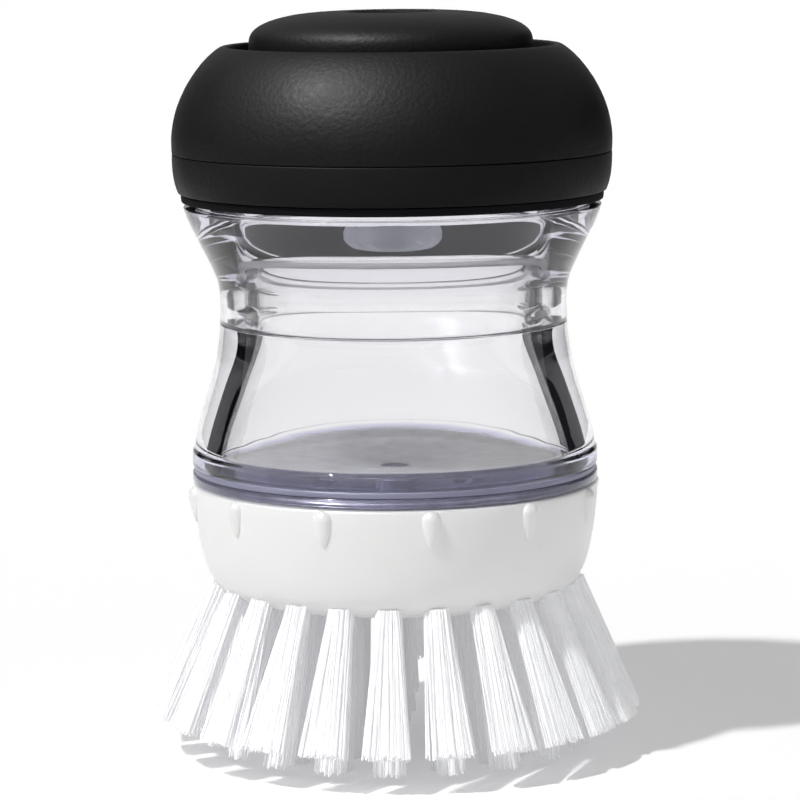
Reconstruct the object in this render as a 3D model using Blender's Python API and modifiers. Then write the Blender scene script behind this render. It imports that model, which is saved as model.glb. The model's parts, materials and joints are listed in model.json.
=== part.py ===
# Soap-dispensing palm brush: a clear soap tank with a screw-on palm grip and
# pump button above, and a twist-off white brush head below.
# Lengths are in metres and +Z is up. The inner bristles stand on Z = 0, the
# outer tufts end higher, and every turned piece is centred on the Z axis.

import math

import bmesh
import bpy
from mathutils import Matrix, Vector

# Clearances
gap = 0.00025
running_gap = 0.0004
overrun = 0.0010
embed = 0.0004
merge_distance = 0.00001

# Radii, from the waist outwards
waist_radius = 0.0250
tank_belly = 0.0043
grip_flare = 0.0051
grip_overhang = 0.0015
tank_radius = waist_radius + tank_belly
flare_radius = waist_radius + grip_flare
grip_radius = flare_radius + grip_overhang

# Segments of a full turn
outer_segments = 32
inner_segments = 24
small_segments = 16
seal_sides = 8
smooth_angle = math.radians(35)

# Bayonet between the tank's base and the brush head
lug_depth = 0.0014
lug_height = 0.0016
lug_lead = 0.0200
lug_count = 4
lug_steps = 3
lug_first_height = 0.0005
catch_clearance = 0.000825
skirt_clearance = 0.0030
lug_rise = lug_lead * lug_steps / outer_segments
skirt_depth = lug_first_height + 2 * lug_height + running_gap + lug_rise + catch_clearance

# Heights of the outside, from the tips upwards
bristle_height = 0.0227
block_thickness = 0.0030
head_floor_thickness = 0.0034
base_flange_thickness = 0.0014
base_gasket_thickness = 0.0004
tank_band_height = 0.0026
tank_body_height = 0.0179
neck_height = 0.0130
collar_height = 0.0166
cap_ring_height = 0.0015
grip_band_height = 0.0061
palm_grip_height = 0.0145
button_rise = 0.0046

block_bottom = bristle_height
block_top = block_bottom + block_thickness
head_floor_bottom = block_top + gap
head_floor_top = head_floor_bottom + head_floor_thickness
head_rim = head_floor_top + skirt_clearance + skirt_depth - gap
base_flange_bottom = head_rim + gap
base_flange_top = base_flange_bottom + base_flange_thickness
base_gasket_bottom = base_flange_top + gap
tank_bottom = base_gasket_bottom + base_gasket_thickness + gap
tank_band_top = tank_bottom + tank_band_height
waist = tank_band_top + tank_body_height
neck_top = waist + neck_height
collar_bottom = waist + gap
collar_top = collar_bottom + collar_height
cap_ring_bottom = collar_top + gap
cap_ring_top = cap_ring_bottom + cap_ring_height
grip_band_bottom = cap_ring_top + gap
grip_band_top = grip_band_bottom + grip_band_height
palm_grip_bottom = grip_band_top + gap
palm_grip_top = palm_grip_bottom + palm_grip_height
button_top = palm_grip_top + button_rise

# Tank
tank_wall = 0.0042
neck_wall = 0.0018
neck_lip = 0.0005
waist_fillet = 0.0002
shoulder_rise = 0.0004
throat_drop = 0.0022
throat_rise = 0.0020

# Screw thread between the tank's neck and the collar
collar_wall = 0.0020
thread_depth = 0.0012
thread_lead = 0.0060
thread_start_count = 2
thread_foot = 0.0012
thread_crest = 0.0007
thread_first_height = 0.0013
thread_row_count = 2
thread_row_steps = 4
thread_first_step = -3
collar_bore = waist_radius - collar_wall
neck_radius = collar_bore - thread_depth - running_gap

# Collar above the waist
ledge_height = 0.0180
spigot_rise = 0.0046
spigot_step = 0.0017
spigot_wall = 0.0021
spigot_radius = flare_radius - spigot_step
spigot_bore = spigot_radius - spigot_wall
collar_ledge = collar_bottom + ledge_height
spigot_top = collar_top + spigot_rise

# Lid gasket between the neck and the collar, and the pump cup above them
lid_gasket_height = 0.0107
lid_gasket_thickness = 0.0009
cup_wall = 0.0016
cup_radius = 0.0146
check_stem_hole = 0.0016
vent_radius = 0.0009
vent_circle = 0.0038
vent_count = 6
vent_segments = 10
lid_gasket_bottom = waist + lid_gasket_height
cup_bottom = collar_ledge + gap
cup_floor = cup_bottom + cup_wall
cup_bore = cup_radius - cup_wall
cup_flange_radius = spigot_bore - gap

# Bellows between the cup and the core's dome
bellows_wall = 0.0009
bellows_side_gap = 0.0006
bellows_fold_depth = 0.0030
bellows_flange = 0.0008
bellows_outer = cup_bore - bellows_side_gap - bellows_flange
bellows_inner = bellows_outer - bellows_fold_depth

# Grip, core and button well
grip_lip_width = 0.0084
grip_lip_depth = 0.0026
grip_opening = grip_radius - grip_lip_width
grip_bore = spigot_radius + gap
button_gap = 0.0029
button_radius = grip_opening - button_gap
button_skirt_height = 0.0082
button_travel = 0.0045
button_reserve = 0.0007
button_edge = palm_grip_top
button_skirt_bottom = button_edge - button_skirt_height
well_clearance = 0.0008
dome_wall = 0.0018
well_radius = button_radius + well_clearance
core_radius = grip_bore - gap
core_bottom = cup_floor + gap
core_shoulder = spigot_top + gap
core_throat_wall = 0.0024
core_top = palm_grip_top - grip_lip_depth
well_floor_thickness = 0.0018
well_floor = button_skirt_bottom - button_travel - button_reserve
well_ceiling = well_floor - well_floor_thickness
dome_clearance = 0.0010
dome_height = 0.0050
dome_bore = bellows_outer + dome_clearance
dome_radius = dome_bore + dome_wall
dome_top = well_floor + dome_height
dome_ceiling = dome_top - well_floor_thickness
guide_height = 0.0018
guide_wall = 0.0016
stem_radius = 0.0056
guide_bore = stem_radius + running_gap
guide_top = dome_top + guide_height

# Button
button_wall = 0.0016
button_ceiling_depth = 0.0032
dimple_radius = 0.0067
dimple_depth = 0.0005
socket_depth = 0.0030
socket_wall = 0.0015
button_ceiling = button_top - button_ceiling_depth
socket_bore = stem_radius + gap

# Plunger, bellows and return spring
plunger_disc_radius = 0.0090
plunger_disc_thickness = 0.0015
plunger_clearance = 0.0005
plunger_top = button_ceiling - gap
plunger_disc_top = dome_ceiling - plunger_clearance
plunger_bottom = plunger_disc_top - plunger_disc_thickness
spring_radius = 0.0110
spring_wire_radius = 0.0005
spring_turn_count = 3
spring_point_count = 10

# Check valve under the pump cup
check_disc_radius = 0.0070
check_disc_thickness = 0.0008
check_stem_radius = check_stem_hole - gap
check_bulb_radius = 0.0024
check_bulb_height = 0.0012

# Tank base
base_plug_rise = 0.0026
base_floor_thickness = 0.0038
base_dish = 0.0016
port_radius = 0.0019
skirt_wall = 0.0016
boss_radius = 0.0096
boss_wall = 0.0022
boss_depth = 0.0040
base_plug_radius = tank_radius - tank_wall - gap
base_floor_top = base_flange_top + base_plug_rise
base_floor_bottom = base_floor_top - base_floor_thickness
boss_bottom = base_floor_bottom - boss_depth
boss_bore = boss_radius - boss_wall

# Outlet valve and its retainer
valve_flange_thickness = 0.0010
valve_dome_radius = 0.0042
valve_dome_drop = 0.0017
valve_wall = 0.0008
slit_width = 0.0003
slit_length = 0.0036
retainer_thickness = 0.0016
valve_seat = base_floor_bottom - gap
valve_flange_bottom = valve_seat - valve_flange_thickness
valve_tip = valve_flange_bottom - valve_dome_drop
valve_radius = boss_bore - gap
retainer_top = valve_flange_bottom - gap
retainer_bottom = retainer_top - retainer_thickness
retainer_bore = valve_dome_radius + running_gap

# Brush head
head_wall = 0.0026
head_edge_radius = 0.0003
outlet_radius = 0.0055
seal_space = 0.0026
seat_radius = 0.0100
seal_width = 0.0019
head_bore = tank_radius - head_wall
skirt_radius = head_bore - lug_depth - running_gap
skirt_bottom = base_flange_bottom - skirt_depth
seat_top = boss_bottom - seal_space

# Ribs round the brush head's rim
rib_count = 12
rib_phase = math.radians(-80.3)
rib_width = 0.0025
rib_tail_width = 0.0012
rib_length = 0.0052
rib_drop = 0.0001
rib_stand = 0.0009
rib_sides = 8

# Bristles, in rings from the outside inwards
block_radius_step = 0.0024
block_chamfer_width = 0.0020
block_chamfer_height = 0.0023
block_radius = tank_radius - block_radius_step
strand_radius = 0.00050
strand_sides = 3
strand_root_depth = 0.0018
tuft_root_radius = 0.00115
tip_rise = 0.0012
foot_cut = 0.0005
slice_step = math.radians(15)

outer_width = 0.0030
outer_spread = 0.0092
outer_tip_along = 0.0029
outer_tip_across = 0.0016
outer_tip_height = 0.0045

second_width = 0.0049
second_spread = 0.0061
second_tip_along = 0.0026
second_tip_across = 0.0018
second_tip_height = 0.0012

third_width = 0.0048
third_spread = 0.0036
third_tip_along = 0.0023
third_tip_across = 0.0018

inner_width = 0.0050
inner_spread = 0.0012
inner_tip_along = 0.0019
inner_tip_across = 0.0016

rings = [
    {
        "name": "outer", "tuft_count": 24, "slice_count": 6, "around_count": 6, "core_count": 1,
        "width": outer_width, "spread": outer_spread, "tip_along": outer_tip_along,
        "tip_across": outer_tip_across, "tip_height": outer_tip_height, "rise_share": 1,
    },
    {
        "name": "second", "tuft_count": 20, "slice_count": 4, "around_count": 4, "core_count": 0,
        "width": second_width, "spread": second_spread, "tip_along": second_tip_along,
        "tip_across": second_tip_across, "tip_height": second_tip_height, "rise_share": 0,
    },
    {
        "name": "third", "tuft_count": 16, "slice_count": 4, "around_count": 3, "core_count": 0,
        "width": third_width, "spread": third_spread, "tip_along": third_tip_along,
        "tip_across": third_tip_across, "tip_height": 0, "rise_share": 0,
    },
    {
        "name": "inner", "tuft_count": 12, "slice_count": 4, "around_count": 3, "core_count": 0,
        "width": inner_width, "spread": inner_spread, "tip_along": inner_tip_along,
        "tip_across": inner_tip_across, "tip_height": 0, "rise_share": 0,
    },
]
ring_phase = math.radians(-92.5)
outlet_boss_radius = block_radius - sum(ring["width"] + gap for ring in rings)

# Outlines as shares of the sizes named beside their use
palm_grip_outer_share = [
    (0.00, 0.965), (0.05, 1.00), (0.24, 0.93), (0.42, 0.84), (0.60, 0.70),
    (0.77, 0.55), (0.91, 0.36), (0.98, 0.17), (1.00, 0.00),
]
palm_grip_inner_share = [(1.00, 0.00), (0.98, 0.34), (0.76, 0.66), (0.36, 0.88)]
grip_band_outer_share = [(1.00, 1.00), (0.99, 0.72), (0.90, 0.45), (0.73, 0.20), (0.50, 0.00)]
tank_outer_share = [
    (0.00, 0.97), (0.06, 0.84), (0.16, 0.68), (0.34, 0.52), (0.56, 0.36), (0.78, 0.19),
    (0.89, 0.07), (0.92, 0.00),
]
tank_inner_share = [(1.00, 0.00), (0.73, 0.21), (0.50, 0.45), (0.26, 0.69), (0.08, 0.90)]
throat_share = [(0.00, 1.00), (0.16, 0.66), (0.48, 0.35), (0.86, 0.00)]
collar_outer_share = [
    (1.00, 1.00), (0.84, 0.86), (0.56, 0.70), (0.28, 0.52), (0.08, 0.39), (0.00, 0.28),
]
head_outer_share = [
    (1.00, 0.96), (1.00, 0.88), (0.91, 0.72), (0.79, 0.54), (0.60, 0.36), (0.40, 0.18),
    (0.20, 0.07), (0.00, 0.00),
]
button_outer_share = [
    (0.47, 0.985), (0.63, 0.95), (0.76, 0.84), (0.87, 0.70), (0.95, 0.53), (0.99, 0.33),
    (1.00, 0.00),
]
bellows_fold_share = [(1.00, 0.78), (0.00, 0.52), (0.95, 0.27)]
check_disc_lip_share = 0.4

materials = {
    "black_rubber": {"colour": (0.018, 0.018, 0.020), "roughness": 0.62, "metallic": 0.0},
    "black_plastic": {"colour": (0.015, 0.015, 0.016), "roughness": 0.40, "metallic": 0.0},
    "clear_plastic": {"colour": (0.86, 0.88, 0.92), "roughness": 0.08, "metallic": 0.0, "alpha": 0.35},
    "clear_tinted": {"colour": (0.62, 0.64, 0.76), "roughness": 0.10, "metallic": 0.0, "alpha": 0.45},
    "white_plastic": {"colour": (0.86, 0.86, 0.85), "roughness": 0.28, "metallic": 0.0},
    "white_nylon": {"colour": (0.90, 0.90, 0.91), "roughness": 0.45, "metallic": 0.0},
    "silicone": {"colour": (0.80, 0.81, 0.82), "roughness": 0.50, "metallic": 0.0},
    "spring_steel": {"colour": (0.60, 0.60, 0.62), "roughness": 0.30, "metallic": 1.0},
}


def clear_scene():
    for obj in list(bpy.data.objects):
        bpy.data.objects.remove(obj, do_unlink=True)


def new_collection(name):
    collection = bpy.data.collections.new(name)
    bpy.context.scene.collection.children.link(collection)
    return collection


def material(name):
    """One Principled material for each finish, shared by the pieces that have it."""
    found = bpy.data.materials.get(name)
    if found:
        return found
    values = materials[name]
    made = bpy.data.materials.new(name)
    made.use_nodes = True
    shader = made.node_tree.nodes["Principled BSDF"]
    shader.inputs["Base Color"].default_value = (*values["colour"], 1.0)
    shader.inputs["Roughness"].default_value = values["roughness"]
    shader.inputs["Metallic"].default_value = values["metallic"]
    shader.inputs["Alpha"].default_value = values.get("alpha", 1.0)
    return made


def along(low, high, share):
    return low + (high - low) * share


def outline(shares, inner, outer, bottom, top):
    """Points of a profile, from shares of a radius range and of a height range."""
    return [(along(inner, outer, r), along(bottom, top, z)) for r, z in shares]


def add_object(name, mesh, finish, collection):
    obj = bpy.data.objects.new(name, mesh)
    collection.objects.link(obj)
    if finish:
        mesh.materials.append(material(finish))
    return obj


def bake(obj):
    """The object's modified mesh takes the place of its own, shaded smooth between sharp edges."""
    graph = bpy.context.evaluated_depsgraph_get()
    mesh = bpy.data.meshes.new_from_object(obj.evaluated_get(graph))
    mesh.name = obj.name
    old = obj.data
    obj.modifiers.clear()
    obj.data = mesh
    bpy.data.meshes.remove(old)
    mesh.shade_smooth()
    mesh.set_sharp_from_angle(angle=smooth_angle)


def turned(name, points, finish, segments, collection, shell=None):
    """A profile of (radius, height) points, turned once round Z. It runs down its outer side.
    A profile that leaves the axis alone is closed, and one that starts on it also ends on it."""
    mesh = bpy.data.meshes.new(name)
    corners = [(r, 0, z) for r, z in points]
    edges = [(i, i + 1) for i in range(len(corners) - 1)]
    if not shell and points[0][0] > 0:
        edges.append((len(corners) - 1, 0))
    mesh.from_pydata(corners, edges, [])
    obj = add_object(name, mesh, finish, collection)
    screw = obj.modifiers.new("turn", "SCREW")
    screw.axis = "Z"
    screw.steps = segments
    screw.render_steps = segments
    screw.use_merge_vertices = True
    screw.merge_threshold = merge_distance
    if shell:
        solid = obj.modifiers.new("wall", "SOLIDIFY")
        solid.thickness = shell
        solid.offset = -1
    bake(obj)
    return obj


def hidden(obj):
    obj.hide_render = True
    obj.display_type = "WIRE"
    return obj


def join(obj, other):
    modifier = obj.modifiers.new(other.name, "BOOLEAN")
    modifier.operation = "UNION"
    modifier.solver = "EXACT"
    modifier.object = other


def cut(obj, other):
    modifier = obj.modifiers.new(other.name, "BOOLEAN")
    modifier.operation = "DIFFERENCE"
    modifier.solver = "EXACT"
    modifier.object = other


def from_bmesh(name, bm, finish, collection):
    bmesh.ops.recalc_face_normals(bm, faces=bm.faces)
    mesh = bpy.data.meshes.new(name)
    bm.to_mesh(mesh)
    bm.free()
    return add_object(name, mesh, finish, collection)


def spun_section(bm, section, angle, step_angle, steps, lead):
    """A (radius, height) section swept round Z from an angle, rising by the lead over a full turn."""
    turn = Matrix.Rotation(angle, 4, "Z")
    corners = [bm.verts.new(turn @ Vector((r, 0, z))) for r, z in section]
    face = bm.faces.new(corners)
    bmesh.ops.spin(
        bm,
        geom=[face, *face.edges, *face.verts],
        axis=(0, 0, 1),
        cent=(0, 0, 0),
        dvec=(0, 0, lead * step_angle / math.tau),
        angle=step_angle * steps,
        steps=steps,
        use_duplicate=False,
    )


def ridges(name, root, crest, foot, tip, heights, lead, count, first_step, steps, collection):
    """Equal screw ridges round Z in rows. The root lies inside the wall that carries them."""
    bm = bmesh.new()
    step_angle = math.tau / outer_segments
    for height in heights:
        section = [
            (root, height - foot / 2),
            (crest, height - tip / 2),
            (crest, height + tip / 2),
            (root, height + foot / 2),
        ]
        for start in range(count):
            angle = math.tau * start / count + step_angle * (first_step + 0.5)
            spun_section(bm, section, angle, step_angle, steps, lead)
    return hidden(from_bmesh(name, bm, None, collection))


def round_cutter(name, radius, bottom, top, places, segments, collection):
    """Upright cylinders at (x, y) places, joined in one hidden object."""
    bm = bmesh.new()
    for x, y in places:
        bmesh.ops.create_cone(
            bm,
            segments=segments,
            radius1=radius,
            radius2=radius,
            depth=top - bottom,
            cap_ends=True,
            matrix=Matrix.Translation((x, y, (bottom + top) / 2)),
        )
    return hidden(from_bmesh(name, bm, None, collection))


def circle_places(radius, count, phase=0.0):
    turns = [phase + math.tau * i / count for i in range(count)]
    return [(radius * math.cos(turn), radius * math.sin(turn)) for turn in turns]


def make_tank_shell(parts, cutters):
    bore = tank_radius - tank_wall
    neck_bore = neck_radius - neck_wall
    throat = waist - throat_drop
    points = [
        (neck_radius - neck_lip, neck_top),
        (neck_radius, neck_top - neck_lip),
        (neck_radius, waist),
        (waist_radius - waist_fillet, waist),
    ]
    points += outline(tank_outer_share, waist_radius, tank_radius, tank_band_top, waist)
    points += [
        (tank_radius, tank_band_top - shoulder_rise),
        (tank_radius, tank_bottom),
        (bore, tank_bottom),
    ]
    points += outline(tank_inner_share, waist_radius - tank_wall, bore, tank_band_top, throat)
    points += reversed(outline(throat_share, neck_bore, waist_radius - tank_wall, throat, waist + throat_rise))
    points.append((neck_bore, neck_top))
    shell = turned("tank_shell", points, "clear_plastic", outer_segments, parts)
    thread = ridges(
        "neck_thread", neck_radius - embed, neck_radius + thread_depth, thread_foot, thread_crest,
        [waist + thread_first_height + row * thread_lead for row in range(thread_row_count)],
        thread_lead, thread_start_count, thread_first_step, thread_row_steps, cutters,
    )
    join(shell, thread)


def make_tank_base(parts, cutters):
    points = [
        (base_plug_radius, base_floor_top),
        (base_plug_radius, base_flange_top),
        (tank_radius, base_flange_top),
        (tank_radius, base_flange_bottom),
        (skirt_radius, base_flange_bottom),
        (skirt_radius, skirt_bottom),
        (skirt_radius - skirt_wall, skirt_bottom),
        (skirt_radius - skirt_wall, base_floor_bottom),
        (boss_radius, base_floor_bottom),
        (boss_radius, boss_bottom),
        (boss_bore, boss_bottom),
        (boss_bore, base_floor_bottom),
        (port_radius, base_floor_bottom),
        (port_radius, base_floor_top - base_dish),
    ]
    base = turned("tank_base", points, "clear_tinted", outer_segments, parts)
    lugs = ridges(
        "base_lugs", skirt_radius - embed, skirt_radius + lug_depth, lug_height, lug_height,
        [skirt_bottom + lug_first_height + lug_height / 2], lug_lead, lug_count, 0, lug_steps, cutters,
    )
    join(base, lugs)


def make_base_gasket(parts):
    inner = base_plug_radius + gap
    top = base_gasket_bottom + base_gasket_thickness
    points = [
        (tank_radius - gap, top),
        (tank_radius - gap, base_gasket_bottom),
        (inner, base_gasket_bottom),
        (inner, top),
    ]
    turned("base_gasket", points, "silicone", outer_segments, parts)


def make_outlet_valve(parts, cutters):
    inner = valve_dome_radius - valve_wall
    points = [
        (0, valve_tip + valve_wall),
        (inner - valve_wall, valve_tip + valve_wall),
        (inner, valve_flange_bottom),
        (inner, valve_seat),
        (valve_radius, valve_seat),
        (valve_radius, valve_flange_bottom),
        (valve_dome_radius, valve_flange_bottom),
        (valve_dome_radius, valve_tip + valve_wall),
        (inner, valve_tip),
        (0, valve_tip),
    ]
    valve = turned("outlet_valve", points, "silicone", small_segments, parts)
    bm = bmesh.new()
    for sides in ((slit_length, slit_width), (slit_width, slit_length)):
        size = Matrix.Diagonal((*sides, 2 * valve_dome_drop, 1))
        bmesh.ops.create_cube(bm, size=1, matrix=Matrix.Translation((0, 0, valve_tip)) @ size)
    slits = from_bmesh("valve_slits", bm, None, cutters)
    cut(valve, hidden(slits))
    valve.modifiers[-1].use_self = True


def make_valve_retainer(parts):
    points = [
        (valve_radius, retainer_top),
        (valve_radius, retainer_bottom),
        (retainer_bore, retainer_bottom),
        (retainer_bore, retainer_top),
    ]
    turned("valve_retainer", points, "white_plastic", small_segments, parts)


def make_lid_gasket(parts):
    top = lid_gasket_bottom + lid_gasket_thickness
    outer = collar_bore - gap
    inner = neck_radius + gap
    points = [(outer, top), (outer, lid_gasket_bottom), (inner, lid_gasket_bottom), (inner, top)]
    turned("lid_gasket", points, "silicone", inner_segments, parts)


def make_clear_collar(parts, cutters):
    points = [(spigot_radius, spigot_top), (spigot_radius, collar_top)]
    points += outline(collar_outer_share, waist_radius, flare_radius, collar_bottom, collar_top)
    points += [
        (waist_radius, collar_bottom + waist_fillet),
        (waist_radius - waist_fillet, collar_bottom),
        (collar_bore, collar_bottom),
        (collar_bore, collar_ledge),
        (spigot_bore, collar_ledge),
        (spigot_bore, spigot_top),
    ]
    collar = turned("clear_collar", points, "clear_plastic", outer_segments, parts)
    half_pitch = thread_lead / thread_start_count / 2
    thread = ridges(
        "collar_thread", collar_bore + embed, collar_bore - thread_depth, thread_foot, thread_crest,
        [waist + thread_first_height + thread_lead - half_pitch],
        thread_lead, thread_start_count, thread_first_step, thread_row_steps, cutters,
    )
    join(collar, thread)


def make_cap_ring(parts):
    outer = flare_radius + gap
    points = [
        (outer, cap_ring_top),
        (outer, cap_ring_bottom),
        (grip_bore, cap_ring_bottom),
        (grip_bore, cap_ring_top),
    ]
    turned("cap_ring", points, "black_plastic", outer_segments, parts)


def make_grip_band(parts):
    points = outline(grip_band_outer_share, flare_radius, grip_radius, grip_band_bottom, grip_band_top)
    points += [(grip_bore, grip_band_bottom), (grip_bore, grip_band_top)]
    turned("grip_band", points, "black_rubber", outer_segments, parts)


def core_outline():
    """The core's outside, from its top edge down to its shoulder, a clearance inside the grip."""
    points = outline(palm_grip_inner_share, grip_opening, grip_bore, palm_grip_bottom, core_top)
    return [(r - gap, z - gap) for r, z in reversed(points)]


def make_palm_grip(parts):
    points = outline(palm_grip_outer_share, grip_opening, grip_radius, palm_grip_bottom, palm_grip_top)
    points += outline(palm_grip_inner_share, grip_opening, grip_bore, palm_grip_bottom, core_top)
    points.append((grip_opening, core_top))
    turned("palm_grip", points, "black_rubber", outer_segments, parts)


def make_cap_core(parts):
    throat = cup_flange_radius - core_throat_wall
    points = [(grip_opening - gap, core_top)]
    points += core_outline()
    points += [
        (core_radius, core_shoulder),
        (cup_flange_radius, core_shoulder),
        (cup_flange_radius, core_bottom),
        (throat, core_bottom),
        (throat, well_ceiling),
        (dome_bore, well_ceiling),
        (dome_bore, dome_ceiling),
        (guide_bore, dome_ceiling),
        (guide_bore, guide_top),
        (guide_bore + guide_wall, guide_top),
        (guide_bore + guide_wall, dome_top),
        (dome_radius, dome_top),
        (dome_radius, well_floor),
        (well_radius, well_floor),
        (well_radius, core_top),
    ]
    turned("cap_core", points, "black_plastic", inner_segments, parts)


def make_pump_cup(parts, cutters):
    rim = well_ceiling - gap
    points = [
        (cup_flange_radius, cup_floor),
        (cup_flange_radius, cup_bottom),
        (check_stem_hole, cup_bottom),
        (check_stem_hole, cup_floor),
        (cup_bore, cup_floor),
        (cup_bore, rim),
        (cup_radius, rim),
        (cup_radius, cup_floor),
    ]
    cup = turned("pump_cup", points, "black_plastic", inner_segments, parts)
    vents = round_cutter(
        "cup_vents", vent_radius, cup_bottom - overrun, cup_floor + overrun,
        circle_places(vent_circle, vent_count), vent_segments, cutters,
    )
    cut(cup, vents)


def make_check_valve(parts):
    disc_top = cup_bottom - gap
    disc_bottom = disc_top - check_disc_thickness
    bulb_bottom = cup_floor + gap
    bulb_top = bulb_bottom + check_bulb_height
    points = [
        (0, bulb_top),
        (check_stem_radius, bulb_top),
        (check_bulb_radius, bulb_bottom),
        (check_stem_radius, bulb_bottom),
        (check_stem_radius, disc_top),
        (check_disc_radius, disc_top),
        (check_disc_radius, along(disc_top, disc_bottom, check_disc_lip_share)),
        (check_stem_radius, disc_bottom),
        (0, disc_bottom),
    ]
    turned("check_valve", points, "silicone", small_segments, parts)


def make_bellows(parts):
    bottom = cup_floor + gap
    top = plunger_bottom - gap
    points = [(0, top), (plunger_disc_radius, top)]
    points += outline(bellows_fold_share, bellows_inner, bellows_outer, bottom, top)
    points += [
        (bellows_outer, bottom + bellows_wall),
        (bellows_outer + bellows_flange, bottom + bellows_wall),
    ]
    turned("pump_bellows", points, "silicone", small_segments, parts, shell=bellows_wall)


def spring_points():
    low = dome_top + gap + spring_wire_radius
    high = button_ceiling - gap - spring_wire_radius
    count = spring_turn_count * spring_point_count
    places = []
    for i in range(count + 1):
        turn = math.tau * i / spring_point_count
        place = (spring_radius * math.cos(turn), spring_radius * math.sin(turn), along(low, high, i / count))
        places.append(Vector(place))
    return places


def least_gap(places, per_turn, radius):
    """The least clear distance between one turn of a coil and the next, measured at its points."""
    far = range(per_turn // 2, len(places))
    distances = [
        (places[i] - places[i + step]).length
        for step in far
        for i in range(len(places) - step)
    ]
    return min(distances) - 2 * radius


def make_return_spring(parts):
    places = spring_points()
    clear = least_gap(places, spring_point_count, spring_wire_radius)
    print(f"return_spring: least gap between its turns {clear:.5f} m")
    curve = bpy.data.curves.new("return_spring", "CURVE")
    curve.dimensions = "3D"
    curve.bevel_depth = spring_wire_radius
    curve.bevel_resolution = 1
    curve.use_fill_caps = True
    spline = curve.splines.new("POLY")
    spline.points.add(len(places) - 1)
    for point, place in zip(spline.points, places):
        point.co = (*place, 1)
    curve.materials.append(material("spring_steel"))
    parts.objects.link(bpy.data.objects.new("return_spring", curve))


def make_push_button(parts):
    dimple_floor = button_top - dimple_depth
    socket_bottom = button_ceiling - socket_depth
    bore = button_radius - button_wall
    socket_radius = socket_bore + socket_wall
    points = [
        (0, dimple_floor),
        (dimple_radius - dimple_depth, dimple_floor),
        (dimple_radius, button_top),
    ]
    points += outline(button_outer_share, 0, button_radius, button_edge, button_top)
    points += [
        (button_radius, button_skirt_bottom),
        (bore, button_skirt_bottom),
        (bore, button_edge - button_wall),
        (spring_radius + button_ceiling_depth, button_ceiling),
        (socket_radius, button_ceiling),
        (socket_radius, socket_bottom),
        (socket_bore, socket_bottom),
        (socket_bore, button_ceiling),
        (0, button_ceiling),
    ]
    turned("push_button", points, "black_rubber", outer_segments, parts)


def make_plunger(parts):
    points = [
        (0, plunger_top),
        (stem_radius, plunger_top),
        (stem_radius, plunger_disc_top),
        (plunger_disc_radius, plunger_disc_top),
        (plunger_disc_radius, plunger_bottom),
        (0, plunger_bottom),
    ]
    turned("button_plunger", points, "white_plastic", small_segments, parts)


def rib_objects(cutters):
    """Raised teardrops under the head's rim, wide end up."""
    bm = bmesh.new()
    middle = head_rim - rib_drop - rib_length / 2
    for i in range(rib_count):
        turn = Matrix.Rotation(rib_phase + math.tau * i / rib_count, 4, "Z")
        place = Matrix.Translation((tank_radius - rib_width / 2 + rib_stand, 0, middle))
        bmesh.ops.create_cone(
            bm,
            segments=rib_sides,
            radius1=rib_tail_width / 2,
            radius2=rib_width / 2,
            depth=rib_length,
            cap_ends=True,
            matrix=turn @ place,
        )
    return hidden(from_bmesh("rim_ribs", bm, None, cutters))


def make_brush_head(parts, cutters):
    points = [(tank_radius - head_edge_radius, head_rim)]
    points += outline(head_outer_share, block_radius + gap, tank_radius, head_floor_bottom, head_rim)
    points += [
        (outlet_boss_radius, head_floor_bottom),
        (outlet_boss_radius, block_bottom),
        (outlet_radius, block_bottom),
        (outlet_radius, seat_top),
        (seat_radius, seat_top),
        (seat_radius, head_floor_top),
        (head_bore, head_floor_top),
        (head_bore, head_rim),
    ]
    head = turned("brush_head", points, "white_plastic", outer_segments, parts)
    lug_top = skirt_bottom + lug_first_height + lug_height
    catches = ridges(
        "head_catches", head_bore + embed, head_bore - lug_depth, lug_height, lug_height,
        [lug_top + running_gap + lug_height / 2], lug_lead, lug_count, 0, lug_steps, cutters,
    )
    join(head, catches)
    join(head, rib_objects(cutters))


def make_head_seal(parts):
    middle = (boss_radius + boss_bore) / 2
    top = boss_bottom - gap
    bottom = seat_top + gap
    centre = (top + bottom) / 2
    half_width = seal_width / 2
    half_height = (top - bottom) / 2
    turns = [math.tau * (i + 0.5) / seal_sides for i in range(seal_sides)]
    points = [(middle + half_width * math.cos(t), centre - half_height * math.sin(t)) for t in turns]
    turned("head_seal", points, "silicone", small_segments, parts)


def strand_places(ring):
    """Where a tuft's strands stand, as shares of its root and tip sizes: x outwards, y along the ring."""
    around = ring["around_count"]
    turns = [math.tau * (i + 0.5) / around for i in range(around)]
    return [(0, 0)] * ring["core_count"] + [(math.cos(turn), math.sin(turn)) for turn in turns]


def add_strand(bm, root, tip, twist):
    """A straight strand with level ends, so that it stands flat on its tip."""
    run = root - tip
    middle = (root + tip) / 2
    lean = Matrix((
        (1, 0, run.x, middle.x),
        (0, 1, run.y, middle.y),
        (0, 0, run.z, middle.z),
        (0, 0, 0, 1),
    ))
    bmesh.ops.create_cone(
        bm,
        segments=strand_sides,
        radius1=strand_radius,
        radius2=strand_radius,
        depth=1,
        cap_ends=True,
        matrix=lean @ Matrix.Rotation(twist, 4, "Z"),
    )


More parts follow.
